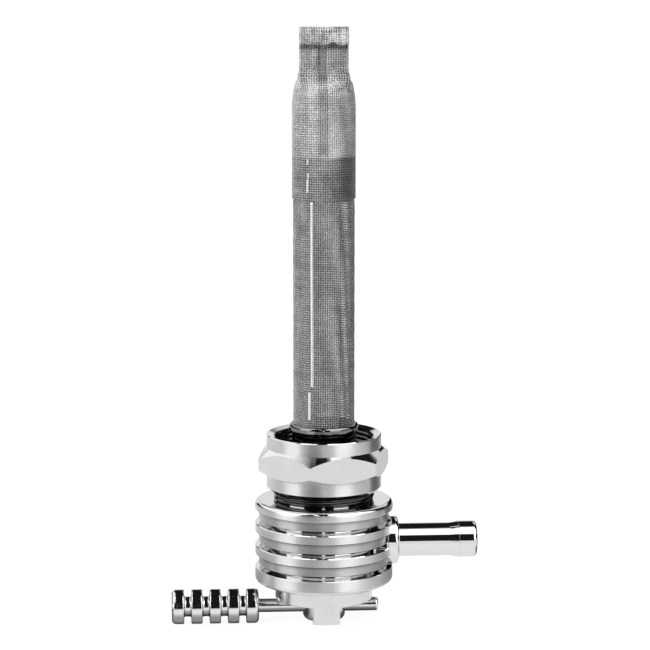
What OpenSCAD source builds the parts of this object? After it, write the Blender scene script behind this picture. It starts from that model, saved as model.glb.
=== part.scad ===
// Finned fuel tap with a 22 mm union nut, a side hose spigot, a mesh strainer and a turning lever.
// Lengths are in millimetres. The origin is the centre of the nut's open mouth, where the tank's
// threaded bung enters. +Z points up into the tank, +X along the spigot, and the stop faces -Y.

/* [Union nut] */
// Radius of the plain wall that stands for the nut's thread, at half the thread's depth
thread_r = 10.7; // [10:0.1:11.4]
// Wall of the nut's round collars outside that radius
nut_wall = 1.75; // [1.5:0.05:2.2]
// Nut hexagon, across its flats
hex_af = 25.8; // [25.6:0.1:28]
// Turn of the hexagon about the axis at rest, in degrees
hex_turn = 15; // [0:1:60]
// Height of the round collar above the hexagon
upper_collar_h = 2.9; // [2:0.1:5]
// Height of the hexagon
hex_h = 6; // [5:0.1:9]
// Height of the round collar below the hexagon
lower_collar_h = 3.2; // [2.5:0.1:5]
// Slope of the chamfer on the hexagon's upper corners, in degrees
hex_top_slope = 39; // [25:1:42]
// Slope of the chamfer on the hexagon's lower corners, in degrees
hex_bottom_slope = 32; // [25:1:40]
// Depth of the countersink in the nut's mouth
mouth_sink = 0.55; // [0.35:0.05:0.8]
// Width of the flat rim left outside the countersink
mouth_land = 0.3; // [0.25:0.05:0.8]
// Width of the lead-in chamfers on the neck and in the nut's lower end
lead_chamfer = 0.35; // [0.2:0.05:0.6]
// Width of the chamfer under the lower collar
collar_chamfer = 0.6; // [0.3:0.05:0.9]

/* [Neck and tank gasket] */
// Depth of the neck's top face below the nut's mouth
bung_depth = 7; // [6:0.1:8.5]
// Length of neck that shows between the nut and the finned body
neck_show = 2.4; // [1.5:0.1:5]
// Thickness of the gasket that the bung presses on
gasket_h = 1; // [0.8:0.1:1.8]

/* [Finned body] */
// Radius of each fin's upper band
fin_r = 15; // [14.6:0.1:18]
// Radius of each fin's lower band
band_r = 14.2; // [13.2:0.1:14.5]
// Radius of the floor of the grooves between the fins
groove_r = 11.8; // [11.2:0.1:12.6]
// Number of fins
fin_count = 4; // [4:1:5]
// Distance from one fin's top to the next
fin_pitch = 4.95; // [4.7:0.05:5.6]
// Height of each fin's upper band
upper_band_h = 2.05; // [1.5:0.05:2.6]
// Width of the grooves between the fins
groove_w = 0.7; // [0.5:0.05:1.2]
// Height of the lowest fin
last_fin_h = 3.25; // [2.8:0.05:5]
// Rounding of the body's upper edge
top_round = 1; // [0.5:0.1:1.3]
// Rounding of the body's lower edge
bottom_round = 1; // [0.5:0.1:1.5]
// Chamfer on the fins' other edges
edge_chamfer = 0.15; // [0.1:0.05:0.25]

/* [Boss and lever stop] */
// Radius of the boss under the fins
boss_r = 10.6; // [10:0.1:12.5]
// Height of the boss
boss_h = 3.9; // [3.6:0.1:6]
// Width of the stop tongue that hangs from the boss
stop_w = 5.75; // [4:0.05:8]
// Thickness of the stop tongue
stop_t = 1.6; // [1.2:0.1:2]
// Depth of the stop tongue's end below the lever rod
stop_drop = 0.25; // [0:0.05:0.6]
// Gap between the boss and the lever rod that passes under it
rod_gap = 0.35; // [0.3:0.05:1.5]

/* [Valve chamber] */
// Radius of the bore that the rotor turns in
chamber_r = 7.05; // [6.9:0.05:7.4]
// Depth of the chamber's top face below the body's top face
chamber_drop = 5; // [4.5:0.1:5.6]
// Thickness of the port seal
seal_h = 1.5; // [1:0.1:2.2]
// Radius of the two fuel ports
port_r = 1.5; // [1.2:0.05:1.7]
// Lever travel to each side of off, in degrees
lever_throw = 60; // [50:1:60]
// Radius of the two pins that keep the port seal from turning
pin_r = 0.75; // [0.5:0.05:0.9]
// Radius of the circle that the two pins lie on
pin_circle_r = 5; // [4.9:0.05:5.5]
// Length of the two pins
pin_h = 2.6; // [2.2:0.1:3.4]
// Thickness of the washer between the rotor and its spring
thrust_h = 0.6; // [0.4:0.1:0.9]
// Height of the wave spring as fitted
spring_h = 1.6; // [1.4:0.1:1.9]
// Thickness of the wave spring's strip
spring_t = 0.35; // [0.25:0.05:0.45]
// Number of waves round the spring
spring_waves = 3; // [2:1:4]
// Thickness of the washer that closes the chamber
retainer_h = 1.2; // [0.8:0.1:1.6]
// Thickness of the snap ring
ring_t = 1; // [0.8:0.1:1.2]
// Depth of the snap ring's groove in the chamber wall
ring_seat = 0.8; // [0.5:0.05:1]
// Width of the snap ring that stands in the bore
ring_show = 1.3; // [1:0.05:1.5]
// Depth of the snap ring inside the boss's lower face
ring_inset = 0.9; // [0.7:0.1:1.5]

/* [Rotor] */
// Radius of the rotor's stem
stem_r = 4.6; // [4.2:0.05:4.7]
// Rounding of the stem's lower end
stem_round = 1.3; // [0.6:0.1:1.8]
// Material left between the lever rod and the stem's lower end
stem_tip = 1.55; // [1.4:0.05:3]
// Height of the gallery that carries fuel round the rotor
gallery_h = 3.2; // [2.8:0.1:3.6]
// Radius of the gallery's floor
gallery_r = 5.2; // [4.9:0.1:5.6]
// Thickness of the rotor's O-rings
o_ring_d = 1; // [0.8:0.05:1.2]

/* [Lever] */
// Radius of the lever rod
rod_r = 1.5; // [1.3:0.05:1.7]
// Reach of the rod's bare end from the axis
rod_reach = 11.9; // [10.5:0.1:15]
// Distance from the axis to the knob
knob_start = 14.3; // [13:0.1:20]
// Radius of the knob's discs
knob_r = 3.8; // [3.4:0.1:4.4]
// Number of discs on the knob
knob_discs = 5; // [3:1:7]
// Distance from one disc to the next
disc_pitch = 4; // [3.6:0.05:5]
// Width of a disc
disc_w = 2.45; // [2:0.05:2.8]
// Width that each end disc has beyond that
end_extra = 0.28; // [0:0.02:0.6]
// Radius of the necks between the discs
knob_neck_r = 2.2; // [2.1:0.05:2.8]
// Rounding of the discs' edges
disc_round = 0.3; // [0.15:0.05:0.5]
// Rounding of the knob's two ends
knob_end_round = 0.9; // [0.5:0.1:1.2]
// Fillet at the foot of each disc
neck_fillet = 0.4; // [0.2:0.05:0.5]
// Length of rod inside the knob
knob_grip = 14; // [9:0.5:15]

/* [Hose spigot] */
// Depth of the spigot's axis below the body's top face
spigot_drop = 9.5; // [9.1:0.1:10.4]
// Radius of the spigot's tube
spigot_r = 3.65; // [3.3:0.05:3.7]
// Radius of the bead that holds the hose
bead_r = 3.97; // [3.8:0.01:4.5]
// Length of the bead
bead_l = 4; // [3.5:0.1:7]
// Length of the slope up to the bead
bead_slope = 2; // [0.5:0.1:3]
// Rounding of the spigot's open end
nose_round = 0.9; // [0.3:0.1:1]
// Reach of the spigot from the body's axis
spigot_reach = 33.4; // [26:0.1:45]
// Radius of the spigot's bore
spigot_bore_r = 2.4; // [1.8:0.1:2.6]
// Radius of the spigot's flange
flange_r = 5.3; // [5:0.1:5.8]
// Thickness of the flange
flange_t = 2.6; // [1.8:0.1:4]
// Rounding of the flange's outer edge
flange_round = 0.9; // [0.3:0.1:1.2]
// Depth of the flat that the flange seats on, below the fins
spot_face_depth = 1.4; // [1.1:0.1:1.8]
// Radius of the shank that is pressed into the body
shank_r = 4; // [3.8:0.05:4.1]
// Wall of the body between the chamber and the shank's end
shank_wall = 0.95; // [0.7:0.05:1.4]

/* [Strainer] */
// Outer radius of the lower mesh tube
mesh_r = 6.7; // [6.4:0.05:6.8]
// Thickness of the woven mesh
mesh_t = 0.2; // [0.15:0.01:0.3]
// Height of the ferrule's rim above the nut's mouth
ferrule_rise = 2.4; // [1.5:0.1:5]
// Width by which the ferrule's sleeve is wider than the mesh
ferrule_step = 0.2; // [0.1:0.05:0.3]
// Wall of the ferrule's sleeve
ferrule_wall = 0.7; // [0.5:0.05:0.8]
// Depth of the ferrule's seat in the neck
ferrule_seat = 3; // [2:0.1:3.5]
// Depth of the cup in the ferrule's rim that holds the mesh
cup_depth = 1.4; // [1:0.1:2]
// Thickness of the ferrule's rolled rim round the mesh
rim_wall = 0.8; // [0.5:0.05:1.2]
// Height of the lower mesh tube's upper end
tube_top = 60.3; // [50:0.1:65]
// Height over which the cap overlaps the lower tube
cap_overlap = 9.2; // [4:0.1:14]
// Height where the cap starts to narrow
shoulder_z = 70; // [67:0.1:80]
// Height of the narrowing shoulder
shoulder_h = 8; // [6:0.1:14]
// Half the width of the pinched end
pinch_half_w = 5.2; // [4:0.1:6.5]
// Half the thickness of the pinched layers
pinch_half_t = 0.65; // [0.5:0.05:1]
// Height of the flat pinched end above the shoulder
pinch_h = 9.6; // [7:0.1:14]
// Height of the hem that is folded down in front
hem_h = 3.8; // [2.5:0.1:5]
// Number of openings round the mesh cap
openings_round = 12; // [6:1:12]
// Width of the ribs between the cap's openings
rib_w = 1.4; // [1:0.1:2]
// Height of the standpipe's open end
standpipe_top = 45; // [30:0.5:50]
// Outer radius of the standpipe
standpipe_r = 2; // [1.8:0.05:2.05]
// Gap between the standpipe and the ferrule's wall
standpipe_gap = 0.2; // [0.1:0.05:0.4]
// Depth of the standpipe's seat in the neck
standpipe_seat = 3; // [2:0.1:3.5]

/* [Clearances] */
// Radial gap of the pieces that turn in each other
running_gap = 0.05; // [0.02:0.01:0.08]
// Gap of the pieces that are pressed or laid in each other
seat_gap = 0.02; // [0.01:0.01:0.05]
// Gap round loose washers
loose_gap = 0.1; // [0.05:0.01:0.2]

/* [Hidden] */
$fn = 96;
// Overlap of a cut past the surface that it opens
cut = 0.5;

// Nut levels, from the mouth down
hex_top_z = -upper_collar_h;
hex_bottom_z = hex_top_z - hex_h;
nut_bottom_z = hex_bottom_z - lower_collar_h;
collar_r = thread_r + nut_wall;
hex_corner_r = hex_af / 2 / cos(30);
sink_w = nut_wall - mouth_land;

// Body levels, from the neck down
neck_r = thread_r - running_gap;
neck_top_z = -bung_depth;
body_top_z = nut_bottom_z - neck_show;
fin_h = fin_pitch - groove_w;
last_fin_z = body_top_z - (fin_count - 1) * fin_pitch;
body_bottom_z = last_fin_z - last_fin_h;
boss_bottom_z = body_bottom_z - boss_h;
rod_z = boss_bottom_z - rod_gap - rod_r;
stop_bottom_z = rod_z - rod_r - stop_drop;
stem_bottom_z = rod_z - rod_r - stem_tip;

// Chamber stack, from its top face down
chamber_top_z = body_top_z - chamber_drop;
seal_bottom_z = chamber_top_z - seal_h;
ring_bottom_z = boss_bottom_z + ring_inset;
ring_top_z = ring_bottom_z + ring_t;
retainer_top_z = ring_top_z + retainer_h;
spring_top_z = retainer_top_z + spring_h;
rotor_shoulder_z = spring_top_z + thrust_h;
ring_r = chamber_r + ring_seat - running_gap;
snap_ring_inner_r = chamber_r - ring_show;

// Rotor
rotor_r = chamber_r - running_gap;
spigot_z = body_top_z - spigot_drop;
gallery_top_z = spigot_z + gallery_h / 2;
gallery_bottom_z = spigot_z - gallery_h / 2;
o_ring_slot_h = 1.2 * o_ring_d;
o_ring_land = (gallery_bottom_z - rotor_shoulder_z - 2 * o_ring_slot_h) / 3;
lower_o_ring_z = rotor_shoulder_z + o_ring_land + o_ring_slot_h / 2;
upper_o_ring_z = lower_o_ring_z + o_ring_slot_h + o_ring_land;
rotor_port_angle = 90;
port_angles = [rotor_port_angle + lever_throw, rotor_port_angle - lever_throw];
pin_angles = [235, 305];
pin_in_seal = 0.7 * seal_h;

// Ferrule and mesh
ferrule_r = mesh_r + ferrule_step;
port_circle_r = ferrule_r - ferrule_wall - standpipe_r - standpipe_gap;
ferrule_rim_r = mesh_r + rim_wall;
ferrule_floor_z = neck_top_z - ferrule_seat;
mesh_foot_z = ferrule_rise - cup_depth + seat_gap;
cap_r = mesh_r + seat_gap * 2 + mesh_t;
cap_foot_z = tube_top - cap_overlap;
pinch_foot_z = shoulder_z + shoulder_h;
strainer_top_z = pinch_foot_z + pinch_h;
hem_bottom_z = strainer_top_z - hem_h;
loft_sides = 48;
loft_steps = 10;

// Spigot, measured along +X
flange_back_x = fin_r - spot_face_depth;
shank_end_x = chamber_r + shank_wall;
shank_l = flange_back_x - shank_end_x;
flange_front_x = flange_back_x + flange_t;
spigot_o_ring_x = shank_end_x + 2 * o_ring_d;

// Knob, measured along its own axis from the end nearest the rotor
knob_l = (knob_discs - 1) * disc_pitch + disc_w + 2 * end_extra;
rod_hidden_end = knob_start + knob_grip;

// Rectangle from the axis outwards, with its two outer corners rounded by r_low and r_high
module rounded_disc(r, low, high, r_low, r_high) {
  difference() {
    translate([0, low])
      square([r, high - low]);
    translate([r - r_high, high - r_high])
      outer_corner(r_high);
    translate([r - r_low, low + r_low])
      mirror([0, 1])
        outer_corner(r_low);
  }
}

module outer_corner(r) {
  difference() {
    square(r + cut);
    circle(r);
  }
}

// Rectangle from the axis outwards, with its two outer corners chamfered by c
module chamfered_disc(r, low, high, c) {
  polygon([[0, low], [r - c, low], [r, low + c], [r, high - c], [r - c, high], [0, high]]);
}

module foot_fillet(f) {
  difference() {
    square(f);
    translate([f, f])
      circle(f);
  }
}

// Fillets of radius f at the two ends of a groove whose floor lies at radius r
module groove_fillets(r, low, high, f) {
  translate([r, low])
    foot_fillet(f);
  translate([r, high])
    mirror([0, 1])
      foot_fillet(f);
}

module ring(outer, inner, low, high) {
  rotate_extrude()
    translate([inner, low])
      square([outer - inner, high - low]);
}

module o_ring(mid_r, mid_z) {
  rotate_extrude()
    translate([mid_r, mid_z])
      circle(d = o_ring_d, $fn = 32);
}

module along_x() {
  translate([0, 0, spigot_z])
    rotate([0, 90, 0])
      children();
}

module at_ports(angles, radius) {
  for (angle = angles)
    rotate([0, 0, angle])
      translate([radius, 0, 0])
        children();
}

// Neck, fins and boss in one turned profile
module body_profile() {
  chamfered_disc(neck_r, body_top_z - cut, neck_top_z, lead_chamfer);
  translate([0, body_bottom_z])
    square([groove_r, body_top_z - body_bottom_z]);
  for (fin = [0 : fin_count - 2]) {
    top = body_top_z - fin * fin_pitch;
    if (fin == 0)
      rounded_disc(fin_r, top - upper_band_h, top, edge_chamfer, top_round);
    else
      chamfered_disc(fin_r, top - upper_band_h, top, edge_chamfer);
    chamfered_disc(band_r, top - fin_h, top - edge_chamfer, edge_chamfer);
  }
  rounded_disc(fin_r, body_bottom_z, last_fin_z, bottom_round, edge_chamfer);
  chamfered_disc(boss_r, boss_bottom_z, body_bottom_z + cut, edge_chamfer);
}

module stop_tongue() {
  translate([0, 0, stop_bottom_z])
    linear_extrude(boss_bottom_z - stop_bottom_z + cut)
      intersection() {
        difference() {
          circle(boss_r);
          circle(boss_r - stop_t);
        }
        translate([-stop_w / 2, -boss_r - 1])
          square([stop_w, boss_r]);
      }
}

module valve_body() {
  color("gainsboro")
    difference() {
      union() {
        rotate_extrude()
          body_profile();
        stop_tongue();
      }
      // Chamber, open below, with the snap ring's groove
      translate([0, 0, boss_bottom_z - cut])
        cylinder(r = chamber_r, h = chamber_top_z - boss_bottom_z + cut);
      translate([0, 0, ring_bottom_z - seat_gap])
        cylinder(r = chamber_r + ring_seat, h = ring_t + 2 * seat_gap);
      // Seat of the ferrule in the neck
      translate([0, 0, ferrule_floor_z])
        cylinder(r = ferrule_r + seat_gap, h = ferrule_seat + cut);
      // Main and reserve drillings, and the standpipe's seat in the main one
      at_ports(port_angles, port_circle_r)
        translate([0, 0, chamber_top_z - cut])
          cylinder(r = port_r, h = ferrule_floor_z - chamber_top_z + 2 * cut);
      at_ports([port_angles[0]], port_circle_r)
        translate([0, 0, ferrule_floor_z - standpipe_seat])
          cylinder(r = standpipe_r + seat_gap, h = standpipe_seat + cut);
      at_ports(pin_angles, pin_circle_r)
        translate([0, 0, chamber_top_z - cut])
          cylinder(r = pin_r + seat_gap, h = pin_h - pin_in_seal + seat_gap + cut);
      // Outlet passage, the shank's bore and the flat under the flange
      along_x()
        cylinder(r = spigot_bore_r, h = shank_end_x + cut);
      along_x()
        translate([0, 0, shank_end_x - seat_gap])
          cylinder(r = shank_r + seat_gap, h = shank_l + fin_r);
      along_x()
        translate([0, 0, flange_back_x - seat_gap])
          cylinder(r = flange_r + loose_gap, h = fin_r);
    }
}

// Hexagon with both ends of its corners turned off at a slope
module chamfered_hexagon() {
  reach = hex_corner_r + 1;
  run = reach - collar_r;
  intersection() {
    rotate([0, 0, hex_turn])
      translate([0, 0, hex_bottom_z])
        cylinder(r = hex_corner_r, h = hex_h, $fn = 6);
    rotate_extrude()
      polygon([[0, hex_bottom_z], [collar_r, hex_bottom_z],
               [reach, hex_bottom_z + run * tan(hex_bottom_slope)],
               [reach, hex_top_z - run * tan(hex_top_slope)],
               [collar_r, hex_top_z], [0, hex_top_z]]);
  }
}

module union_nut() {
  color("silver")
    difference() {
      union() {
        rotate_extrude()
          polygon([[0, nut_bottom_z], [collar_r - collar_chamfer, nut_bottom_z],
                   [collar_r, nut_bottom_z + collar_chamfer],
                   [collar_r, -edge_chamfer], [collar_r - edge_chamfer, 0], [0, 0]]);
        chamfered_hexagon();
      }
      translate([0, 0, nut_bottom_z - cut])
        cylinder(r = thread_r, h = -nut_bottom_z + 2 * cut);
      // Countersunk mouth, and a lead-in at the thread's lower end
      translate([0, 0, -mouth_sink])
        cylinder(r1 = thread_r, r2 = thread_r + sink_w * (1 + cut / mouth_sink), h = mouth_sink + cut);
      translate([0, 0, nut_bottom_z - cut])
        cylinder(r1 = thread_r + lead_chamfer + cut, r2 = thread_r, h = lead_chamfer + cut);
    }
}

module tank_gasket() {
  color("dimgray")
    ring(neck_r - lead_chamfer, ferrule_rim_r + loose_gap, neck_top_z, neck_top_z + gasket_h);
}

module strainer_ferrule() {
  rim_foot_z = ferrule_rise - cup_depth;
  color("silver")
    rotate_extrude()
      difference() {
        union() {
          translate([0, ferrule_floor_z])
            square([ferrule_r, rim_foot_z - ferrule_floor_z]);
          rounded_disc(ferrule_rim_r, rim_foot_z - ferrule_wall, ferrule_rise, rim_wall, rim_wall);
        }
        translate([0, ferrule_floor_z - cut])
          square([ferrule_r - ferrule_wall, ferrule_rise - ferrule_floor_z + 2 * cut]);
        translate([0, rim_foot_z])
          square([mesh_r + seat_gap, cup_depth + cut]);
      }
}

module strainer_tube() {
  color("darkgray")
    ring(mesh_r, mesh_r - mesh_t, mesh_foot_z, tube_top);
}

// Tall openings with ribs between them, from the lower tube's top to the middle of the shoulder
module cap_openings() {
  opening_w = 2 * mesh_r * sin(180 / openings_round) - rib_w;
  opening_h = shoulder_z + shoulder_h / 2 - tube_top - rib_w;
  for (k = [0 : openings_round - 1])
    rotate([0, 0, (k + 0.5) * 360 / openings_round])
      translate([pinch_half_w, -opening_w / 2, tube_top + rib_w / 2])
        cube([cap_r + cut - pinch_half_w, opening_w, opening_h]);
}

// Point of a superellipse with half axes a and b and exponent n, at an angle
function rounded_point(a, b, n, angle) =
  [a * sign(cos(angle)) * pow(abs(cos(angle)), 2 / n),
   b * sign(sin(angle)) * pow(abs(sin(angle)), 2 / n)];

// The cap's section at height z, drawn in by inset: a circle that flattens up the shoulder
function cap_section(z, inset) =
  let (t = max(0, (z - shoulder_z) / shoulder_h),
       a = cap_r + (pinch_half_w - cap_r) * t * t - inset,
       b = cap_r + (pinch_half_t - cap_r) * t * t - inset,
       n = 2 + 2 * t * t)
  [for (i = [0 : loft_sides - 1])
    let (p = rounded_point(a, b, n, (i + 0.5) * 360 / loft_sides)) [p[0], p[1], z]];

// Closed loft through the cap's sections from a low to a high level
module cap_loft(low, high, inset) {
  rise = high - shoulder_z;
  levels = concat([low], [for (k = [0 : loft_steps]) shoulder_z + rise * k / loft_steps]);
  count = len(levels);
  points = [for (z = levels) each cap_section(z, inset)];
  sides = [for (k = [0 : count - 2], i = [0 : loft_sides - 1])
    let (j = (i + 1) % loft_sides, base = k * loft_sides)
    [base + i, base + loft_sides + i, base + loft_sides + j, base + j]];
  foot = [for (i = [0 : loft_sides - 1]) i];
  head = [for (i = [loft_sides - 1 : -1 : 0]) (count - 1) * loft_sides + i];
  polyhedron(points, concat([foot], sides, [head]));
}

// Side view of the pinched end: layers that rise, bend over at the top and hang down in front
module hem_profile() {
  layer = 2 * pinch_half_t;
  bend_r = layer + seat_gap;
  bend_z = strainer_top_z - bend_r;
  translate([-pinch_half_t, pinch_foot_z - seat_gap])
    square([layer, bend_z - pinch_foot_z + seat_gap]);
  translate([-pinch_half_t - layer - 2 * seat_gap, hem_bottom_z])
    square([layer, bend_z - hem_bottom_z]);
  translate([-pinch_half_t - seat_gap, bend_z])
    intersection() {
      circle(bend_r);
      translate([-bend_r, -seat_gap])
        square([2 * bend_r, bend_r + cut]);
    }
}

module strainer_cap() {
  color("gray") {
    difference() {
      cap_loft(cap_foot_z, pinch_foot_z, 0);
      cap_loft(cap_foot_z - cut, pinch_foot_z - 3 * mesh_t, mesh_t);
      cap_openings();
    }
    translate([-pinch_half_w, 0, 0])
      rotate([90, 0, 90])
        linear_extrude(2 * pinch_half_w)
          hem_profile();
  }
}

module standpipe() {
  color("darkgoldenrod")
    at_ports([port_angles[0]], port_circle_r)
      ring(standpipe_r, port_r, ferrule_floor_z - standpipe_seat, standpipe_top);
}

module spigot_profile() {
  bead_x = spigot_reach - bead_l;
  difference() {
    union() {
      translate([0, shank_end_x])
        square([shank_r, shank_l]);
      rounded_disc(flange_r, flange_back_x, flange_front_x, edge_chamfer, flange_round);
      translate([0, flange_back_x])
        square([spigot_r, spigot_reach - bead_l - flange_back_x]);
      polygon([[0, bead_x - bead_slope - cut], [spigot_r, bead_x - bead_slope - cut],
               [spigot_r, bead_x - bead_slope], [bead_r, bead_x], [0, bead_x]]);
      rounded_disc(bead_r, bead_x, spigot_reach, 0.05, nose_round);
    }
    translate([shank_r - o_ring_d, spigot_o_ring_x - o_ring_slot_h / 2])
      square([o_ring_d + cut, o_ring_slot_h]);
    translate([0, shank_end_x - cut])
      square([spigot_bore_r, spigot_reach - shank_end_x + 2 * cut]);
  }
}

module outlet_spigot() {
  color("silver")
    along_x()
      rotate_extrude()
        spigot_profile();
}

module spigot_o_ring() {
  color("black")
    along_x()
      o_ring(shank_r - o_ring_d / 2, spigot_o_ring_x);
}

module port_seal() {
  color("white")
    difference() {
      translate([0, 0, seal_bottom_z])
        cylinder(r = chamber_r - seat_gap, h = seal_h);
      at_ports(port_angles, port_circle_r)
        translate([0, 0, seal_bottom_z - cut])
          cylinder(r = port_r, h = seal_h + 2 * cut);
      at_ports(pin_angles, pin_circle_r)
        translate([0, 0, chamber_top_z - pin_in_seal - seat_gap])
          cylinder(r = pin_r + seat_gap, h = seal_h);
    }
}

module port_seal_pins() {
  color("lightsteelblue")
    at_ports(pin_angles, pin_circle_r)
      translate([0, 0, chamber_top_z - pin_in_seal])
        cylinder(r = pin_r, h = pin_h);
}

module rotor() {
  color("darkgray")
    difference() {
      rotate_extrude()
        difference() {
          union() {
            translate([0, rotor_shoulder_z])
              square([rotor_r, seal_bottom_z - rotor_shoulder_z]);
            rounded_disc(stem_r, stem_bottom_z, rotor_shoulder_z + cut, stem_round, edge_chamfer);
          }
          translate([gallery_r, gallery_bottom_z])
            square([rotor_r, gallery_h]);
          for (z = [lower_o_ring_z, upper_o_ring_z])
            translate([rotor_r - o_ring_d, z - o_ring_slot_h / 2])
              square([rotor_r, o_ring_slot_h]);
        }
      // Port in the sealing face, and the drilling that joins it to the gallery
      at_ports([rotor_port_angle], port_circle_r)
        translate([0, 0, spigot_z])
          cylinder(r = port_r, h = seal_bottom_z - spigot_z + cut);
      rotate([0, 0, rotor_port_angle])
        translate([port_circle_r - port_r, 0, spigot_z])
          rotate([0, 90, 0])
            cylinder(r = gallery_h / 2 - 0.3, h = rotor_r);
      // Cross hole for the lever rod
      translate([-rotor_r, 0, rod_z])
        rotate([0, 90, 0])
          cylinder(r = rod_r + seat_gap, h = 2 * rotor_r);
    }
}

module upper_o_ring() {
  color("black")
    o_ring(rotor_r - o_ring_d / 2, upper_o_ring_z);
}

module lower_o_ring() {
  color("black")
    o_ring(rotor_r - o_ring_d / 2, lower_o_ring_z);
}

module thrust_washer() {
  color("ivory")
    ring(chamber_r - loose_gap, stem_r + loose_gap, spring_top_z, rotor_shoulder_z);
}

// Flat strip bent into waves round the stem, between the thrust washer and the retaining washer
module wave_spring() {
  steps = 96;
  inner = stem_r + 0.45;
  outer = chamber_r - 0.25;
  swing = (spring_h - spring_t) / 2 - seat_gap;
  mid = retainer_top_z + spring_h / 2;
  points = [for (i = [0 : steps - 1])
    let (angle = i * 360 / steps, z = mid + swing * cos(spring_waves * angle))
    each [[inner * cos(angle), inner * sin(angle), z - spring_t / 2],
          [outer * cos(angle), outer * sin(angle), z - spring_t / 2],
          [outer * cos(angle), outer * sin(angle), z + spring_t / 2],
          [inner * cos(angle), inner * sin(angle), z + spring_t / 2]]];
  faces = [for (i = [0 : steps - 1], k = [0 : 3])
    let (here = 4 * i, next = 4 * ((i + 1) % steps), m = (k + 1) % 4)
    each [[here + k, here + m, next + m], [here + k, next + m, next + k]]];
  color("steelblue")
    polyhedron(points, faces);
}

module retaining_washer() {
  color("lightgray")
    ring(chamber_r - seat_gap, stem_r + running_gap, ring_top_z, retainer_top_z);
}

// Internal snap ring with two eared ends
module snap_ring() {
  gap_half_angle = 24;
  ear_r = 1;
  ear_circle_r = snap_ring_inner_r + 0.35;
  color("gray")
    translate([0, 0, ring_bottom_z])
      linear_extrude(ring_t)
        difference() {
          union() {
            difference() {
              circle(ring_r);
              circle(snap_ring_inner_r);
              polygon([[0, 0], [-sin(gap_half_angle), cos(gap_half_angle)] * 2 * ring_r,
                       [sin(gap_half_angle), cos(gap_half_angle)] * 2 * ring_r]);
            }
            for (side = [-1, 1])
              rotate(90 + side * gap_half_angle)
                translate([ear_circle_r, 0])
                  circle(ear_r);
          }
          for (side = [-1, 1])
            rotate(90 + side * gap_half_angle)
              translate([ear_circle_r, 0])
                circle(ear_r / 2.2);
        }
}

module lever_rod() {
  color("silver")
    translate([-rod_hidden_end, 0, rod_z])
      rotate([0, 90, 0])
        rotate_extrude()
          rounded_disc(rod_r, 0, rod_hidden_end + rod_reach, edge_chamfer, 0.6);
}

module knob_profile() {
  difference() {
    union() {
      translate([0, disc_round])
        square([knob_neck_r, knob_l - 2 * disc_round]);
      for (disc = [0 : knob_discs - 1]) {
        first = disc == 0;
        last = disc == knob_discs - 1;
        low = disc * disc_pitch + (first ? 0 : end_extra);
        high = disc * disc_pitch + end_extra + disc_w + (last ? end_extra : 0);
        rounded_disc(knob_r, low, high, first ? knob_end_round : disc_round,
                     last ? knob_end_round : disc_round);
        if (!last)
          groove_fillets(knob_neck_r, high, high + disc_pitch - disc_w, neck_fillet);
      }
    }
    translate([0, -cut])
      square([rod_r + seat_gap, knob_grip + seat_gap + cut]);
  }
}

module lever_knob() {
  color("gray")
    translate([-knob_start, 0, rod_z])
      rotate([0, -90, 0])
        rotate_extrude()
          knob_profile();
}

valve_body();
union_nut();
tank_gasket();
strainer_ferrule();
strainer_tube();
strainer_cap();
standpipe();
outlet_spigot();
spigot_o_ring();
port_seal();
port_seal_pins();
rotor();
upper_o_ring();
lower_o_ring();
thrust_washer();
wave_spring();
retaining_washer();
snap_ring();
lever_rod();
lever_knob();
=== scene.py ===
"""Looks of a turned, chromed fuel tap with a woven strainer.

Lengths are in metres, and MM is one millimetre.
"""

import math

import bpy
import numpy as np
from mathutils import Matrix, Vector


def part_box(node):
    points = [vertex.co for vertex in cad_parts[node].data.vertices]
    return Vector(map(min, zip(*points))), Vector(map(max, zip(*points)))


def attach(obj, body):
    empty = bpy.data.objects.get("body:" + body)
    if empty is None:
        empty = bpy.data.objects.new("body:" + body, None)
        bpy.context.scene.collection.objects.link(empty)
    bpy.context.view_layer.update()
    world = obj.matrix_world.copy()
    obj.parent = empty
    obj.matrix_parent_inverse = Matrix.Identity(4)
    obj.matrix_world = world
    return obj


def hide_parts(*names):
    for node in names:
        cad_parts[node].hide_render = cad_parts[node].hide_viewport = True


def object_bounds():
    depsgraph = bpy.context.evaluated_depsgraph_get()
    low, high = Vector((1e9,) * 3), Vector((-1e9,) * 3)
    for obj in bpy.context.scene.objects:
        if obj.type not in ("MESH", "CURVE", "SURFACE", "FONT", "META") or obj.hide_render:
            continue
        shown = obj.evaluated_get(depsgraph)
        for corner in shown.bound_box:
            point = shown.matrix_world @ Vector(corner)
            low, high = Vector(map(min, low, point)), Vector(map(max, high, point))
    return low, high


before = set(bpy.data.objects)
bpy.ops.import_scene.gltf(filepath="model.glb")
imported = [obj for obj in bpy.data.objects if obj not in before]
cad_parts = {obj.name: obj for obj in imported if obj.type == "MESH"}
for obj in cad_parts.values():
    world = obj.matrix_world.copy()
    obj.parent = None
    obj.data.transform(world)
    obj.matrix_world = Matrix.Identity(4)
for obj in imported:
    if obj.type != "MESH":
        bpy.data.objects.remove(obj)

cad_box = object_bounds()
MM = 0.001

# Camera, solved from the ellipses of the nut, the fins and the boss, and its angle from the front
CAMERA_PLACE = (-31.7 * MM, -519.0 * MM, 106 * MM)
CAMERA_LENS = 135.4
CAMERA_PITCH = 81.0
CAMERA_HEADING = -3.523
CAMERA_SIDE = 3.5

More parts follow.
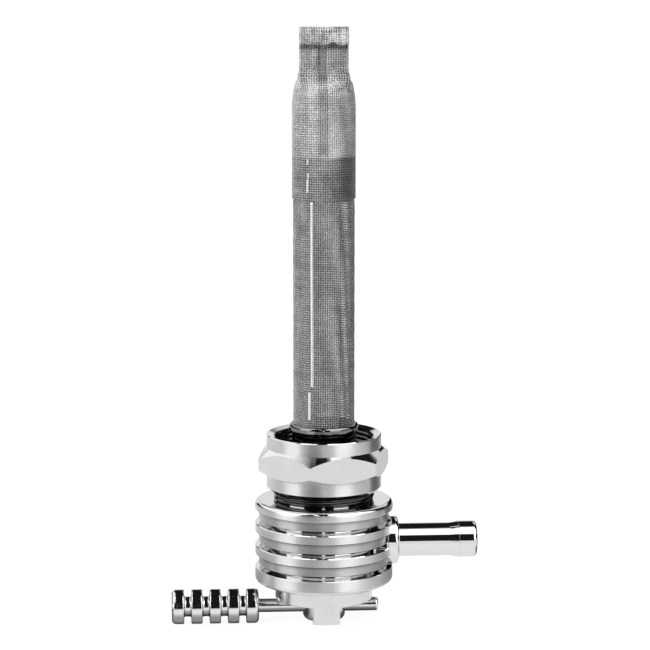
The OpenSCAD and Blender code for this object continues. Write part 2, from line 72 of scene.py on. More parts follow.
# Strainer: woven wire, in the space of its two CAD sleeves
WEAVE_PITCH = 0.5 * MM
WIRE_R = 0.12 * MM
WIRE_SWING = 0.055 * MM
WIRE_REACH = WIRE_R + WIRE_SWING
PINCH_FULLNESS = 0.45
TUBE_WIRES = 82
CAP_WIRES = 84
tube_low, tube_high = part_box("strainer_tube")
cap_low, cap_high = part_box("strainer_cap")
TUBE_R = tube_high[0] - WIRE_REACH - 0.06 * MM
CAP_R = cap_high[0] - WIRE_REACH - 0.1 * MM
CAP_FOOT_Z = cap_low[2]
SHOULDER_Z = 70 * MM
SHOULDER_H = 8 * MM
PINCH_HALF_W = 5.2 * MM
LAYERS_HALF_T = 0.5 * MM
TUCK_FOOT_Z = 75.2 * MM
TUCK_TOP_Z = 80.6 * MM
TUCK_DEPTH = 4.7 * MM
FRONT_SHARE = math.radians(43)
BEND_R = 0.67 * MM
BEND_Z = cap_high[2] - BEND_R - LAYERS_HALF_T - WIRE_REACH - PINCH_FULLNESS * WIRE_R - 0.02 * MM
HEM_FOOT_Z = 83.9 * MM
CAP_CLOTH_TOP = BEND_Z + math.pi * BEND_R + BEND_Z - HEM_FOOT_Z

# Threads of the nut and the neck
THREAD_PITCH = 1.0 * MM
NUT_MINOR_R = 10.46 * MM
NUT_BORE_R = 10.7 * MM
NECK_CREST_R = 10.95 * MM
NECK_R = 10.65 * MM

# Body and nut: levels of their faces, reach of what lies inside their walls
BODY_TOP_Z = -14.5 * MM
BODY_BOTTOM_Z = -32.6 * MM
FIN_PITCH = 4.95 * MM
UPPER_BAND_H = 2.05 * MM
GROOVE_FLOOR_REACH = 12.2 * MM
HEXAGON_BOTTOM_Z = -8.85 * MM
HEXAGON_TOP_Z = -2.95 * MM
NUT_WALL_REACH = 12.2 * MM

FLOOR_Z = cad_box[0][2]


# Shader maths

class Value:
    """A shader socket that works in Python expressions: each operator adds its Math node."""

    def __init__(self, graph, socket):
        self.graph = graph
        self.socket = socket

    def __add__(self, other):
        return self.graph.math("ADD", self, other)

    def __sub__(self, other):
        return self.graph.math("SUBTRACT", self, other)

    def __rsub__(self, other):
        return self.graph.math("SUBTRACT", other, self)

    def __mul__(self, other):
        return self.graph.math("MULTIPLY", self, other)

    def __lt__(self, other):
        return self.graph.math("LESS_THAN", self, other)

    __radd__ = __add__
    __rmul__ = __mul__

    def size(self):
        """The value without its sign."""
        return self.graph.math("ABSOLUTE", self)

    def rise(self, low, high, bottom=0.0, top=1.0):
        """Climbs smoothly from bottom at low to top at high, and is level outside them."""
        return self.graph.node("MapRange", {"interpolation_type": "SMOOTHSTEP"},
                               {0: self, 1: low, 2: high, 3: bottom, 4: top})

    def window(self, low, high, soft):
        """One between low and high, nought outside, with soft edges that wide."""
        return self.rise(low - soft, low) * (1 - self.rise(high, high + soft))


class Graph:
    """The node tree of a material or of the world."""

    def __init__(self, owner):
        owner.use_nodes = True
        self.tree = owner.node_tree
        self.tree.nodes.clear()

    def fill(self, socket, value):
        """Links a Value to a socket, or writes a number, colour or vector on it."""
        if isinstance(value, Value):
            self.tree.links.new(value.socket, socket)
        elif isinstance(value, bpy.types.NodeSocket):
            self.tree.links.new(value, socket)
        else:
            socket.default_value = value

    def make(self, kind, settings=None, sockets=None):
        """Makes a node: its settings first, then its sockets."""
        made = self.tree.nodes.new("ShaderNode" + kind)
        for name, value in (settings or {}).items():
            setattr(made, name, value)
        for key, value in (sockets or {}).items():
            self.fill(made.inputs[key], value)
        return made

    def node(self, kind, settings=None, sockets=None, out=0):
        """Makes a node and gives one of its outputs as a Value."""
        return Value(self, self.make(kind, settings, sockets).outputs[out])

    def math(self, operation, *values):
        return self.node("Math", {"operation": operation}, dict(enumerate(values)))

    def blend(self, mask, low, high):
        """Goes from low to high with the mask, for numbers."""
        return self.node("Mix", {"data_type": "FLOAT"}, {0: mask, 2: low, 3: high})

    def blend_colour(self, mask, low, high):
        """Goes from one colour to another with the mask."""
        return self.node("Mix", {"data_type": "RGBA"}, {0: mask, 6: low, 7: high}, out=2)

    def place(self):
        """Object coordinates: the point, and its x, y and z."""
        point = self.node("TexCoord", out=3)
        parts = self.make("SeparateXYZ", None, {0: point})
        return point, [Value(self, socket) for socket in parts.outputs]

    def facing_up(self):
        """How much the surface faces up or down, 0 to 1."""
        normal = self.node("NewGeometry", out=1)
        parts = self.make("SeparateXYZ", None, {0: normal})
        return Value(self, parts.outputs[2]).size()

    def noise(self, point, scale, detail=2.0, roughness=0.5, stretch=None):
        """Noise from 0 to 1 at a point, whose axes may be stretched first."""
        if stretch:
            point = self.node("VectorMath", {"operation": "MULTIPLY"}, {0: point, 1: stretch})
        return self.node("TexNoise", None, {"Vector": point, "Scale": scale, "Detail": detail,
                                            "Roughness": roughness})

    def bump(self, height, depth, strength=1.0):
        """A normal tilted by a height from 0 to 1 over a real depth."""
        return self.node("Bump", None, {"Strength": strength, "Distance": depth, "Height": height})

    def surface(self, sockets):
        """Ends a material in one Principled shader."""
        shader = self.make("BsdfPrincipled", None, sockets)
        output = self.make("OutputMaterial")
        self.tree.links.new(shader.outputs[0], output.inputs[0])


def grey(level):
    """A neutral colour of that level."""
    return (level, level, level, 1.0)


def new_material(name):
    """An empty material and the graph that fills it."""
    material = bpy.data.materials.new(name)
    return material, Graph(material)


# Materials

def turned_chrome(name, satin_roughness, polish_roughness, level, polished, painted_shade):
    """Chrome over turned metal: satin where the wall is upright, polished on its faces and edges.

    The fine lines of the turning run round the axis, so the gloss spreads up and down across them.
    The last two arguments take the graph and a point's reach from the axis and its height: the
    first says where the satin is polished out again, the second where shade is painted in as a
    darker tone.
    """
    material, graph = new_material(name)
    point, (x, y, z) = graph.place()
    reach = graph.math("SQRT", x * x + y * y)
    upright = (1 - graph.facing_up().rise(0.3, 0.55)) * (1 - polished(graph, reach, z))
    lines = graph.noise(point, 1.0, detail=3.0, stretch=(200, 200, 9000))
    stains = graph.noise(point, 260.0, detail=4.0)
    satin = lines.rise(0.3, 0.7, satin_roughness - 0.04, satin_roughness + 0.04)
    polish = stains.rise(0.35, 0.75, polish_roughness, polish_roughness + 0.035)
    tone = stains.rise(0.3, 0.8, level, level - 0.05) - upright * lines.rise(0.35, 0.7) * 0.05
    # Painted shade: the tone is darkened by the mask given as the last argument.
    tone = tone * (1 - painted_shade(graph, reach, z))
    graph.surface({
        "Base Color": graph.blend_colour(tone, grey(0.0), grey(1.0)),
        "Metallic": 1.0,
        "Roughness": graph.blend(upright, polish, satin),
        "Anisotropic": 0.9,
        "Anisotropic Rotation": 0.25,
        "Normal": graph.bump(lines * upright, 0.004 * MM, 0.5),
    })
    return material


def plain_chrome(name, level, roughness):
    """Polished chrome with faint wipe marks and a little haze."""
    material, graph = new_material(name)
    point, _ = graph.place()
    haze = graph.noise(point, 420.0, detail=4.0)
    wipes = graph.noise(point, 1.0, detail=3.0, stretch=(300, 300, 2600))
    graph.surface({
        "Base Color": graph.blend_colour(haze, grey(level), grey(level - 0.06)),
        "Metallic": 1.0,
        "Roughness": haze.rise(0.3, 0.8, roughness, roughness + 0.03),
        "Normal": graph.bump(wipes, 0.002 * MM, 0.3),
    })
    return material


def woven_steel():
    """Drawn stainless wire with a dull finish, with darker and lighter patches over the weave, a
    darker
    lap up the cap's front and a darker line down the lower sleeve's front. Painted light and shade:
    the cloth above the lower sleeve's end is lighter, and the double cloth at the right, the whole
    right side and a band under the hem are darker."""
    material, graph = new_material("woven_steel")
    point, (x, y, z) = graph.place()
    front = y < 0

    # Marks up the front: the lap with lighter cloth beside it and a fold across it, and a darker
    # line down the lower sleeve
    lap = x.window(-1.3 * MM, 0.55 * MM, 0.12 * MM) * z.window(61 * MM, 83 * MM, 0.5 * MM)
    beside = x.window(-3.4 * MM, 2.6 * MM, 0.8 * MM) * z.window(58 * MM, 76 * MM, 3 * MM)
    fold = z.window(74.5 * MM, 77 * MM, 0.4 * MM)
    dark_line = x.window(3.05 * MM, 3.4 * MM, 0.1 * MM) * (1 - z.rise(50 * MM, 51 * MM))
    shade = 1 - front * (lap * (0.52 + fold * 0.2) + dark_line * 0.45 - beside * 0.35)

    # Painted light and shade: single cloth above the lower sleeve's end is painted lighter, double
    # cloth at the right painted darker, and the whole right side painted darker
    single = z.rise(59.8 * MM, 60.6 * MM)
    double = z.window(51 * MM, 60 * MM, 0.3 * MM) * x.rise(0.5 * MM, 3 * MM)
    # Painted shade: the right side of the cloth is darker.
    right = x.rise(1 * MM, 6 * MM)
    shade = shade * (1 + single * 0.42) * (1 - double * 0.3) * (1 - right * 0.2)

    hem = z.rise(83.6 * MM, 84.2 * MM)
    # Painted shadow: a darker band under the hem's lower edge, on the front.
    hem_shadow = z.window(82.9 * MM, 83.5 * MM, 0.3 * MM) * front
    patches = graph.noise(point, 330.0, detail=3.0)
    streaks = graph.noise(point, 1.0, detail=3.0, stretch=(900, 900, 60))
    bands = graph.noise(point, 1.0, detail=2.0, stretch=(40, 40, 1500))
    grain = graph.noise(point, 2600.0, detail=2.0)
    tone = (patches.rise(0.25, 0.75, 0.26, 0.38) + streaks.rise(0.35, 0.65) * 0.08
            + bands.rise(0.35, 0.7) * 0.06)
    tone = tone * grain.rise(0.25, 0.75, 0.68, 1.2) * shade
    tone = tone * (1 + hem * patches.rise(0.4, 0.6, 0.05, 0.5)) * (1 - hem_shadow * 0.55)
    graph.surface({
        "Base Color": graph.blend_colour(tone, grey(0.0), grey(1.0)),
        "Metallic": 0.3,
        "Roughness": patches.rise(0.3, 0.7, 0.42, 0.52),
        "Normal": graph.bump(grain, 0.005 * MM, 0.4),
    })
    return material


def drawn_metal(name, colour, worn, roughness, streak=(400, 400, 90)):
    """Drawn or ground metal: streaks along its length between two colours."""
    material, graph = new_material(name)
    point, _ = graph.place()
    streaks = graph.noise(point, 8.0, detail=4.0, stretch=streak)
    graph.surface({
        "Base Color": graph.blend_colour(streaks, colour, worn),
        "Metallic": 1.0,
        "Roughness": streaks.rise(0.3, 0.7, roughness - 0.05, roughness + 0.06),
        "Normal": graph.bump(streaks, 0.003 * MM, 0.4),
    })
    return material


def matt_rubber(name, level):
    """Moulded rubber with a fine grain and a dusty bloom."""
    material, graph = new_material(name)
    point, _ = graph.place()
    grain = graph.noise(point, 5200.0, detail=2.0)
    bloom = graph.noise(point, 500.0, detail=3.0)
    graph.surface({
        "Base Color": graph.blend_colour(bloom, grey(level), grey(level + 0.03)),
        "Roughness": bloom.rise(0.3, 0.7, 0.55, 0.72),
        "Normal": graph.bump(grain, 0.01 * MM, 0.6),
    })
    return material


def smooth_plastic(name, colour, shade):
    """Moulded sealing plastic with faint flow marks."""
    material, graph = new_material(name)
    point, _ = graph.place()
    flow = graph.noise(point, 300.0, detail=3.0)
    graph.surface({
        "Base Color": graph.blend_colour(flow, colour, shade),
        "Roughness": flow.rise(0.3, 0.7, 0.36, 0.48),
        "Normal": graph.bump(flow, 0.01 * MM, 0.3),
    })
    return material


def groove_floors(graph, reach, z):
    """On the body: the neck and the floors of the grooves between the fins are polished, the boss
    below nearly so."""
    floors = 1 - reach.rise(GROOVE_FLOOR_REACH, GROOVE_FLOOR_REACH + 0.6 * MM)
    boss = z < BODY_BOTTOM_Z
    return graph.math("MAXIMUM", floors * (1 - boss), boss * 0.82)


def body_painted_shade(graph, reach, z):
    """On the body, painted shade: the neck is painted darker, and so are the fins' lower bands,
    most of all just under the upper bands' edge."""
    # Painted shade on the neck and on the fins' lower bands.
    neck = 1 - (z < BODY_TOP_Z + 0.05 * MM)
    depth = graph.math("MODULO", BODY_TOP_Z - z, FIN_PITCH)
    band = (reach.window(13.6 * MM, 14.5 * MM, 0.3 * MM)
            * depth.window(UPPER_BAND_H, FIN_PITCH, 0.02 * MM))
    shade = band * (0.24 + 0.3 * (1 - depth.rise(UPPER_BAND_H, UPPER_BAND_H + 0.9 * MM)))
    return graph.math("MAXIMUM", shade, neck * 0.85)


def nut_flats(graph, reach, z):
    """On the nut: the hexagon between the collars is ground and polished, and so is the inside."""
    hexagon = z.window(HEXAGON_BOTTOM_Z, HEXAGON_TOP_Z, 0.02 * MM)
    return graph.math("MAXIMUM", hexagon * 0.65, reach < NUT_WALL_REACH)


def nut_painted_shade(graph, reach, z):
    """On the nut, painted shade: the bore, the thread and the underside are painted darker."""
    # Painted shade in the bore and under the nut.
    bore = reach < NUT_BORE_R + 0.2 * MM
    underside = (reach < NUT_WALL_REACH) * (z < -12.0 * MM)
    return graph.math("MAXIMUM", bore, underside) * 0.85


# Shapes

def object_from(name, points, faces, material, smooth=True):
    """Puts points and faces into a new mesh object with one material."""
    mesh = bpy.data.meshes.new(name)
    mesh.from_pydata(points.reshape(-1, 3), [], faces)
    if smooth:
        mesh.shade_smooth()
    mesh.materials.append(material)
    made = bpy.data.objects.new(name, mesh)
    bpy.context.scene.collection.objects.link(made)
    return made


def grid_faces(rows, columns, wrap_rows=False, wrap_columns=False):
    """Quads of a grid of rows by columns, joined round where it wraps."""
    row = np.arange(rows if wrap_rows else rows - 1)
    column = np.arange(columns if wrap_columns else columns - 1)
    r, c = (part.ravel() for part in np.meshgrid(row, column, indexing="ij"))
    next_r, next_c = (r + 1) % rows, (c + 1) % columns
    return np.stack([r * columns + c, r * columns + next_c,
                     next_r * columns + next_c, next_r * columns + c], axis=1)


def wires(name, centres, normals, radius, closed, material):
    """Thin wires of four sides. centres is wires by rings by 3, radius wires by rings by 1: the
    diamond round each ring's centre has two corners along the cloth's normal and two across it, in
    the cloth. Open wires get end caps."""
    count, rings = centres.shape[:2]
    if closed:
        along = np.roll(centres, -1, axis=1) - np.roll(centres, 1, axis=1)
    else:
        along = np.gradient(centres, axis=1)
    along /= np.linalg.norm(along, axis=2, keepdims=True)
    across = np.cross(along, normals)
    across /= np.linalg.norm(across, axis=2, keepdims=True)
    outward = np.cross(across, along)
    corners = np.stack([centres + outward * radius, centres + across * radius,
                        centres - outward * radius, centres - across * radius], axis=2)
    ring_faces = grid_faces(rings, 4, wrap_rows=closed, wrap_columns=True)
    first = np.arange(count)[:, None, None] * rings * 4
    faces = (ring_faces[None, :, ::-1] + first).reshape(-1, 4)
    if not closed:
        foot = np.array([0, 1, 2, 3]) + first[:, 0]
        head = np.array([3, 2, 1, 0]) + first[:, 0] + (rings - 1) * 4
        faces = np.concatenate([faces, foot, head])
    return object_from(name, corners, faces.tolist(), material)


def cloth_normals(surface, u, v):
    """Outward normals of a cloth, from small steps along its two parameters."""
    step_u, step_v = 1e-4, 0.02 * MM
    along_u = surface(u + step_u, v) - surface(u - step_u, v)
    along_v = surface(u, v + step_v) - surface(u, v - step_v)
    normal = np.cross(along_u, along_v)
    return normal / np.maximum(np.linalg.norm(normal, axis=2, keepdims=True), 1e-12)


def wire_radius(v):
    """Wires are fuller in the pinched end, where several layers lie on each other."""
    fuller = PINCH_FULLNESS * smooth_step(v, TUCK_FOOT_Z - 2 * MM, TUCK_TOP_Z)
    return (WIRE_R * (1 + fuller))[..., None]


def weave(name, surface, low, high, count, material):
    """Plain weave over a cloth surface(u, v), u once round it and v up it in metres.

    Upright wire i and level wire j swing out and in by opposite cosine waves, half a wave from one
    crossing to the next, and neighbours swing the opposite way. So at each crossing the one that is
    pushed out lies over the other. Two rings a crossing keep the mesh light.
    """
    rows = int(round((high - low) / WEAVE_PITCH))

    i = np.arange(count)[:, None]
    step = np.arange(2 * rows + 1)[None, :] / 2
    u = np.broadcast_to((i + 0.5) / count, (count, step.shape[1]))
    v = np.broadcast_to(low + step * WEAVE_PITCH, u.shape)
    lift = WIRE_SWING * np.cos(np.pi * (step - 0.5)) * np.where(i % 2 == 0, 1, -1)
    normal = cloth_normals(surface, u, v)
    upright = wires(name + "_warp", surface(u, v) + normal * lift[..., None],
                    normal, wire_radius(v), False, material)

    j = np.arange(rows)[:, None]
    step = np.arange(2 * count)[None, :] / 2
    u = np.broadcast_to(step / count, (rows, step.shape[1]))
    v = np.broadcast_to(low + (j + 0.5) * WEAVE_PITCH, u.shape)
    lift = -WIRE_SWING * np.cos(np.pi * (step - 0.5)) * np.where(j % 2 == 0, 1, -1)
    normal = cloth_normals(surface, u, v)
    level = wires(name + "_weft", surface(u, v) + normal * lift[..., None],
                  normal, wire_radius(v), True, material)
    return [upright, level]


def smooth_step(value, low, high):
    """Climbs smoothly from 0 at low to 1 at high."""
    t = np.clip((value - low) / (high - low), 0, 1)
    return t * t * (3 - 2 * t)


def tube_surface(u, v):
    """The lower sleeve: a cylinder with the slightest waviness, a sine of three waves round it, u
    round it and v its height. It is a little narrower inside the cap."""
    angle = 2 * np.pi * u
    radius = TUBE_R + 0.02 * MM * np.sin(3 * angle + 1.5 * v / MM)
    radius = radius - 0.17 * MM * smooth_step(v, CAP_FOOT_Z - 0.8 * MM, CAP_FOOT_Z)
    return np.stack([radius * np.sin(angle), -radius * np.cos(angle), v], axis=-1)


def cap_surface(u, v):
    """The upper sleeve, u round it from the front and v its height before it is folded.

    Up to the shoulder it is round. Along the shoulder an ellipse, whose half axes shrink with the
    square of the way up, turns into a gable: a front layer, a back layer, and on each side a tuck
    folded inwards, each with its share of the round. The pinched layers then bend forward over
    half a circle at the top, and hang down in front as the hem, crumpled by a product of sines.
    """
    turn = (u % 1.0) * 2 * np.pi
    side = np.where(turn > np.pi, -1.0, 1.0)
    phi = np.where(turn > np.pi, 2 * np.pi - turn, turn)
    t = np.clip((v - SHOULDER_Z) / SHOULDER_H, 0, 1)
    half_w = CAP_R + (PINCH_HALF_W - CAP_R) * t * t
    half_t = CAP_R + (LAYERS_HALF_T - CAP_R) * t * t
    depth = TUCK_DEPTH * smooth_step(v, TUCK_FOOT_Z, TUCK_TOP_Z)

    gusset = np.pi / 2 - FRONT_SHARE
    fold = np.clip(1 - np.abs(phi - np.pi / 2) / gusset, 0, 1)
    back = phi > np.pi / 2
    flat_x = np.clip(np.where(back, np.pi - phi, phi) / FRONT_SHARE, 0, 1) * half_w
    gable_x = flat_x - depth * fold
    gable_y = np.where(back, 1.0, -1.0) * half_t * (1 - 0.75 * fold ** 0.6)
    gable = smooth_step(t, 0.3, 1.0)
    x = side * ((1 - gable) * half_w * np.sin(phi) + gable * gable_x)
    y = (1 - gable) * -half_t * np.cos(phi) + gable * gable_y

    across = x / PINCH_HALF_W
    past = np.maximum(v - BEND_Z, 0)
    arc = np.minimum(past, np.pi * BEND_R) / BEND_R
    waves = 0.12 * np.sin(1.9 * x / MM + 1.0) + 0.22 * across ** 2 + 0.06 * across
    drop = np.maximum(past - np.pi * BEND_R, 0) * (0.9 + waves)
    radius = BEND_R + y
    bent_y = np.where(past > 0, -BEND_R + radius * np.cos(arc), y)
    z = np.where(past > 0, BEND_Z + radius * np.sin(arc), v) - drop

    near_bend = smooth_step(v, BEND_Z - 3.4 * MM, BEND_Z)
    crumple = 0.22 * MM * near_bend * np.sin(2.3 * x / MM + 0.7) * np.sin(1.1 * x / MM)
    return np.stack([x, bent_y - crumple, z], axis=-1)


def threaded_sleeve(name, low, high, wall, crest, hidden, material):
    """A screw thread from low to high: the radius follows a blunt V, one pitch a turn, between the
    wall and the crest, fading out at both ends. A hidden plain side closes it inside the metal."""
    columns, rings_a_turn = 96, 14
    rings = int((high - low) / THREAD_PITCH * rings_a_turn)
    z = np.linspace(low, high, rings)[:, None]
    angle = (np.arange(columns) * 2 * np.pi / columns)[None, :]
    phase = z / THREAD_PITCH - angle / (2 * np.pi)
    ridge = np.clip(1.15 - 2.7 * np.abs(phase % 1.0 - 0.5), 0, 1)
    fade = smooth_step(z, low, low + 0.3 * MM) * (1 - smooth_step(z, high - 0.3 * MM, high))
    root = wall + (wall - crest) * 0.12
    radius = root + (crest - root) * ridge * fade
    shell = np.full_like(radius, hidden)
    z = np.broadcast_to(z, radius.shape)
    angle = np.broadcast_to(angle, radius.shape)
    loop_r = np.concatenate([radius, shell[::-1]])
    loop_z = np.concatenate([z, z[::-1]])
    loop_a = np.concatenate([angle, angle[::-1]])
    points = np.stack([loop_r * np.cos(loop_a), loop_r * np.sin(loop_a), loop_z], axis=-1)
    faces = grid_faces(len(points), columns, wrap_rows=True, wrap_columns=True)
    if crest < wall:
        faces = faces[:, ::-1]
    return object_from(name, points, faces.tolist(), material)


def seam_strip(name, angle, radius, low, high, half_w, height, material):
    """A low rounded ridge up the strainer: an arch across, and a slow sway along."""
    rings, arch = 60, 7
    v = np.linspace(low, high, rings)[:, None]
    s = np.linspace(-1, 1, arch)[None, :]
    sway = 0.05 * MM * np.sin(v / (9 * MM))
    lift = height * np.sqrt(np.maximum(1 - s * s, 0))
    around = angle + (s * half_w + sway) / radius
    r = np.broadcast_to(radius + lift, around.shape)
    inner = np.full_like(r, radius - 0.1 * MM)
    loop_r = np.concatenate([r, inner[:, ::-1]], axis=1)
    loop_a = np.concatenate([around, around[:, ::-1]], axis=1)
    loop_z = np.broadcast_to(v, loop_r.shape)
    points = np.stack([loop_r * np.cos(loop_a), loop_r * np.sin(loop_a), loop_z], axis=-1)
    columns = points.shape[1]
    faces = grid_faces(rings, columns, wrap_columns=True)[:, ::-1]
    foot = list(range(columns))
    head = [(rings - 1) * columns + k for k in reversed(range(columns))]
    return object_from(name, points, faces.tolist() + [foot, head], material)


# Studio

def studio_camera():
    """The photograph's view."""
    data = bpy.data.cameras.new("studio_camera")
    data.sensor_width = 36
    data.lens = CAMERA_LENS
    data.clip_start = 0.01
    data.clip_end = 20
    camera = bpy.data.objects.new("studio_camera", data)
    camera.location = CAMERA_PLACE
    camera.rotation_euler = (math.radians(CAMERA_PITCH), 0, math.radians(CAMERA_HEADING))
    bpy.context.scene.collection.objects.link(camera)
    bpy.context.scene.camera = camera


# Soft boxes that polished metal sees: side from and to, soft edge, height from and to, soft edge,
# strength. The sides and heights are in degrees.
SOFT_BOXES = (
    (100, 118, 3, 64, 86, 2, 0.8),
    (-150, -107, 4, 60, 77, 2, 0.95),
    (25, 58, 3, 4, 76, 4, 2.0),
    (61, 100, 4, 22, 56, 4, 1.7),
    (140, 165, 6, 24, 46, 6, 0.75),
    (-3, 2.1, 0.8, 8, 40, 3, 1.5),
    (-84, -50, 4, 4, 72, 4, 2.1),
    (-150, -84, 8, 22, 56, 6, 1.15),
)
DARK_ROOM = 0.01
PLAIN_LIGHT = 0.5


def studio_world():
    """White to the camera and a plain level to the lit colours. Polished metal sees the studio: two
    overhead panels, a white backdrop low behind, the soft boxes, and a dark room between them.
    side is the direction's angle from the camera, positive to the right, and height its
    elevation."""
    world = bpy.data.worlds.new("studio")
    bpy.context.scene.world = world
    graph = Graph(world)
    direction = graph.node("TexCoord", out=0)
    parts = graph.make("SeparateXYZ", None, {0: direction})
    dx, dy, dz = (Value(graph, socket) for socket in parts.outputs)
    side = graph.math("ARCTAN2", dx, dy * -1) * math.degrees(1) + CAMERA_SIDE
    height = graph.math("ARCSINE", dz) * math.degrees(1)

    overhead = height.window(43, 82, 3) * 1.4
    over_right = dx.rise(0.045, 0.07) * (1 - side.rise(100, 104)) * overhead
    over_front = dx.window(-0.22, -0.15, 0.015) * (dy < 0) * overhead
    behind = side.rise(168, 172) + (1 - side.rise(-156, -150))
    backdrop = behind * (1 - height.rise(20, 26)) * 0.85
    room = over_right + over_front + backdrop + DARK_ROOM
    for side_low, side_high, side_soft, low, high, soft, strength in SOFT_BOXES:
        box = side.window(side_low, side_high, side_soft) * height.window(low, high, soft)
        room = room + box * strength

    path = graph.make("LightPath")
    camera, glossy, through = (Value(graph, path.outputs[name]) for name in
                               ("Is Camera Ray", "Is Glossy Ray", "Is Transmission Ray"))
    mirrored = glossy + through
    level = camera + (1 - camera) * (mirrored * room + (1 - mirrored) * PLAIN_LIGHT)
    background = graph.make("Background", None, {"Color": level, "Strength": 1.0})
    output = graph.make("OutputWorld")
    graph.tree.links.new(background.outputs[0], output.inputs[0])


def soft_lamp(name, place, size, power):
    """A square lamp that faces the tap. Reflections see the world's soft boxes in its stead."""
    data = bpy.data.lights.new(name, "AREA")
    data.size = size
    data.energy = power
    lamp = bpy.data.objects.new(name, data)
    lamp.location = place
    lamp.rotation_euler = (-lamp.location).to_track_quat("-Z", "Y").to_euler()
    lamp.visible_glossy = False
    bpy.context.scene.collection.objects.link(lamp)


def studio_floor():
    """A pale floor under the lowest point. It keeps the tap's shadow, and is white to the camera.

    Polished metal sees it lit by parts, which go over into each other with the reach from the tap's
    axis: close to the lever, round the boss, before the fins and before the nut. Each part's level
    changes with the side, as on the room's soft boxes. The parts close to the lever and round the
    boss carry a painted shadow: darker under and behind the lever, and round the boss darker to the
    left, to the right and behind.
    """
    half = 9.0
    corners = np.array([[-half, -half, 0], [half, -half, 0], [half, half, 0], [-half, half, 0]])
    material, graph = new_material("pale_floor")
    path = graph.make("LightPath")
    camera = Value(graph, path.outputs["Is Camera Ray"])
    mirrored = (Value(graph, path.outputs["Is Glossy Ray"])
                + Value(graph, path.outputs["Is Transmission Ray"]))
    point, (x, y, z) = graph.place()
    cloudy = graph.noise(point, 30.0)
    colour = graph.blend_colour(cloudy, grey(0.9), grey(0.92))
    lit = graph.make("BsdfDiffuse", None, {"Color": colour})
    side = graph.math("ARCTAN2", x, y * -1) * math.degrees(1) + CAMERA_SIDE
    reach = graph.math("SQRT", x * x + y * y)
    # Painted shadow in the floor that metal sees: darker under and behind the lever, and round the
    # boss darker to the left, to the right and behind.
    lever_shadow = y.rise(-10 * MM, -3.6 * MM) * 0.74 + y.rise(-3.0 * MM, -1.2 * MM) * 0.22
    close = 0.97 - lever_shadow * (1 - x.rise(12.5 * MM, 14.5 * MM))
    under_boss = side.rise(-88, -50) * (1 - side.rise(64, 104)) * 0.92 + 0.02
    right_side = side.rise(140, 148) * 0.55 - side.rise(100, 108) * 0.75
    before_fins = (1.35 - side.rise(-100, -84) * 0.45 - side.rise(-56, -42) * 0.82
                   + side.rise(-16, 8) * 0.8 + right_side)
    before_nut = (0.88 + side.window(-52, -36, 6) * 0.6 - side.window(-24, -4, 8) * 0.5
                  + right_side)
    sheet = graph.blend(reach.rise(180 * MM, 200 * MM), before_fins, before_nut)
    sheet = graph.blend(reach.rise(64 * MM, 76 * MM), under_boss, sheet)
    sheet = graph.blend(reach.rise(42 * MM, 50 * MM), close, sheet)
    level = camera * 1.26 + mirrored * sheet
    glow = graph.make("Emission", None, {"Color": level, "Strength": 1.0})
    mixed = graph.make("MixShader", None, {0: camera * 0.72 + mirrored * 0.8,
                                           1: lit.outputs[0], 2: glow.outputs[0]})
    output = graph.make("OutputMaterial")
    graph.tree.links.new(mixed.outputs[0], output.inputs[0])
    corners = corners + [0, 0, FLOOR_Z - 0.02 * MM]
    object_from("floor", corners, [[0, 1, 2, 3]], material, smooth=False)


# Finishes of the CAD nodes

rubber = matt_rubber("seal_rubber", 0.03)
finishes = {
    # The last argument of each chrome finish below is its mask of painted shade.
    "valve_body": turned_chrome("chromed_body", 0.42, 0.05, 0.78, groove_floors, body_painted_shade),
    "union_nut": turned_chrome("chromed_nut", 0.40, 0.06, 0.78, nut_flats, nut_painted_shade),
    # Painted shade: the ferrule's chrome has a low level, so that it looks dark.
    "strainer_ferrule": plain_chrome("chromed_ferrule", 0.24, 0.04),
    "outlet_spigot": plain_chrome("chromed_spigot", 0.84, 0.04),
    "lever_knob": plain_chrome("chromed_knob", 0.84, 0.03),
    "lever_rod": drawn_metal("polished_rod", grey(0.82), grey(0.74), 0.09, (90, 400, 400)),
    "rotor": drawn_metal("rotor_steel", grey(0.82), grey(0.76), 0.16, (300, 300, 300)),
    "tank_gasket": matt_rubber("gasket_rubber", 0.05),
    "standpipe": drawn_metal("brass_tube", (0.5, 0.42, 0.28, 1), (0.38, 0.31, 0.2, 1), 0.3),
    "spigot_o_ring": rubber,
    "upper_o_ring": rubber,
    "lower_o_ring": rubber,
    "port_seal": smooth_plastic("seal_plastic", (0.88, 0.88, 0.86, 1), (0.8, 0.8, 0.78, 1)),
    "thrust_washer": smooth_plastic("washer_plastic", (0.82, 0.8, 0.72, 1), (0.74, 0.72, 0.64, 1)),
    "port_seal_pins": drawn_metal("pin_steel", grey(0.62), grey(0.54), 0.3),
    "wave_spring": drawn_metal("spring_steel", (0.42, 0.42, 0.44, 1), (0.34, 0.34, 0.36, 1), 0.32),
    "retaining_washer": drawn_metal("washer_steel", grey(0.66), grey(0.56), 0.34, (300, 300, 300)),
    "snap_ring": drawn_metal("ring_steel", (0.40, 0.40, 0.42, 1), (0.3, 0.3, 0.32, 1), 0.32),
}
for node, finish in finishes.items():
    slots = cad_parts[node].data.materials
    for index in range(len(slots)):
        slots[index] = finish


# Strainer

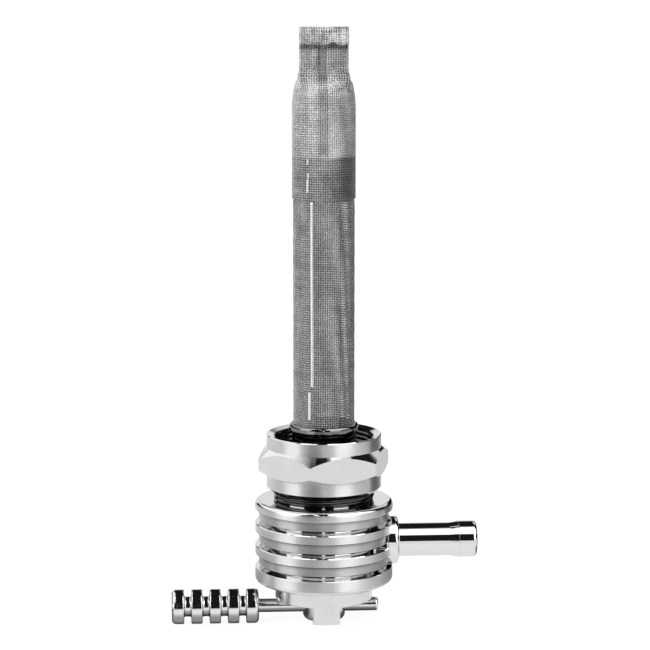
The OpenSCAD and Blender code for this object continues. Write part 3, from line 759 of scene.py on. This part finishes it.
mesh_steel = woven_steel()
woven = {
    "strainer_tube": weave("tube", tube_surface, tube_low[2] + 0.1 * MM, tube_high[2], TUBE_WIRES,
                           mesh_steel),
    "strainer_cap": weave("cap", cap_surface, CAP_FOOT_Z, CAP_CLOTH_TOP, CAP_WIRES, mesh_steel),
}
for node, pieces in woven.items():
    for piece in pieces:
        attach(piece, "valve")
        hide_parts(node)

# Seams: name, angle in degrees, radius, half width, low and high end
SEAM_H = 0.1 * MM
seams = (
    ("tube_seam", -116.0, TUBE_R, 0.36 * MM, 10.8 * MM, CAP_FOOT_Z - 0.3 * MM),
    ("tube_seam_foot", -121.6, TUBE_R, 0.36 * MM, 3.9 * MM, 9.9 * MM),
    ("cap_seam", -124.0, CAP_R, 0.3 * MM, CAP_FOOT_Z + 1.7 * MM, CAP_FOOT_Z + 4.6 * MM),
    ("cap_seam_middle", -122.6, CAP_R, 0.26 * MM, CAP_FOOT_Z + 4.8 * MM, CAP_FOOT_Z + 5.9 * MM),
    ("cap_seam_top", -124.0, CAP_R, 0.24 * MM, CAP_FOOT_Z + 7.6 * MM, CAP_FOOT_Z + 8.9 * MM),
)
seam_steel = drawn_metal("seam_steel", grey(0.9), grey(0.8), 0.3)
for name, angle, radius, half_w, low, high in seams:
    seam = seam_strip(name, math.radians(angle), radius + WIRE_REACH, low, high, half_w, SEAM_H,
                      seam_steel)
    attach(seam, "valve")


# Threads

# Painted shade: the thread metals are near black, and stand for the shade in the nut's bore and
# round the neck under the nut.
bore_metal_painted_dark = drawn_metal("bore_metal_painted_dark", grey(0.1), grey(0.06), 0.16, (300, 300, 300))
neck_metal_painted_dark = drawn_metal("neck_metal_painted_dark", grey(0.1), grey(0.05), 0.09, (300, 300, 300))
nut_thread = threaded_sleeve("nut_thread", -5.9 * MM, -0.6 * MM, NUT_BORE_R, NUT_MINOR_R,
                             10.9 * MM, bore_metal_painted_dark)
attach(nut_thread, "nut")
neck_thread = threaded_sleeve("neck_thread", -14.45 * MM, -12.2 * MM, NECK_R, NECK_CREST_R,
                              10.4 * MM, neck_metal_painted_dark)
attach(neck_thread, "valve")


studio_camera()
studio_world()
soft_lamp("key_lamp", (-0.5, -0.26, 0.3), 0.4, 2.9)
soft_lamp("fill_lamp", (0.2, -0.45, 0.5), 0.6, 0.5)
studio_floor()
bpy.context.scene.view_settings.view_transform = "Standard"
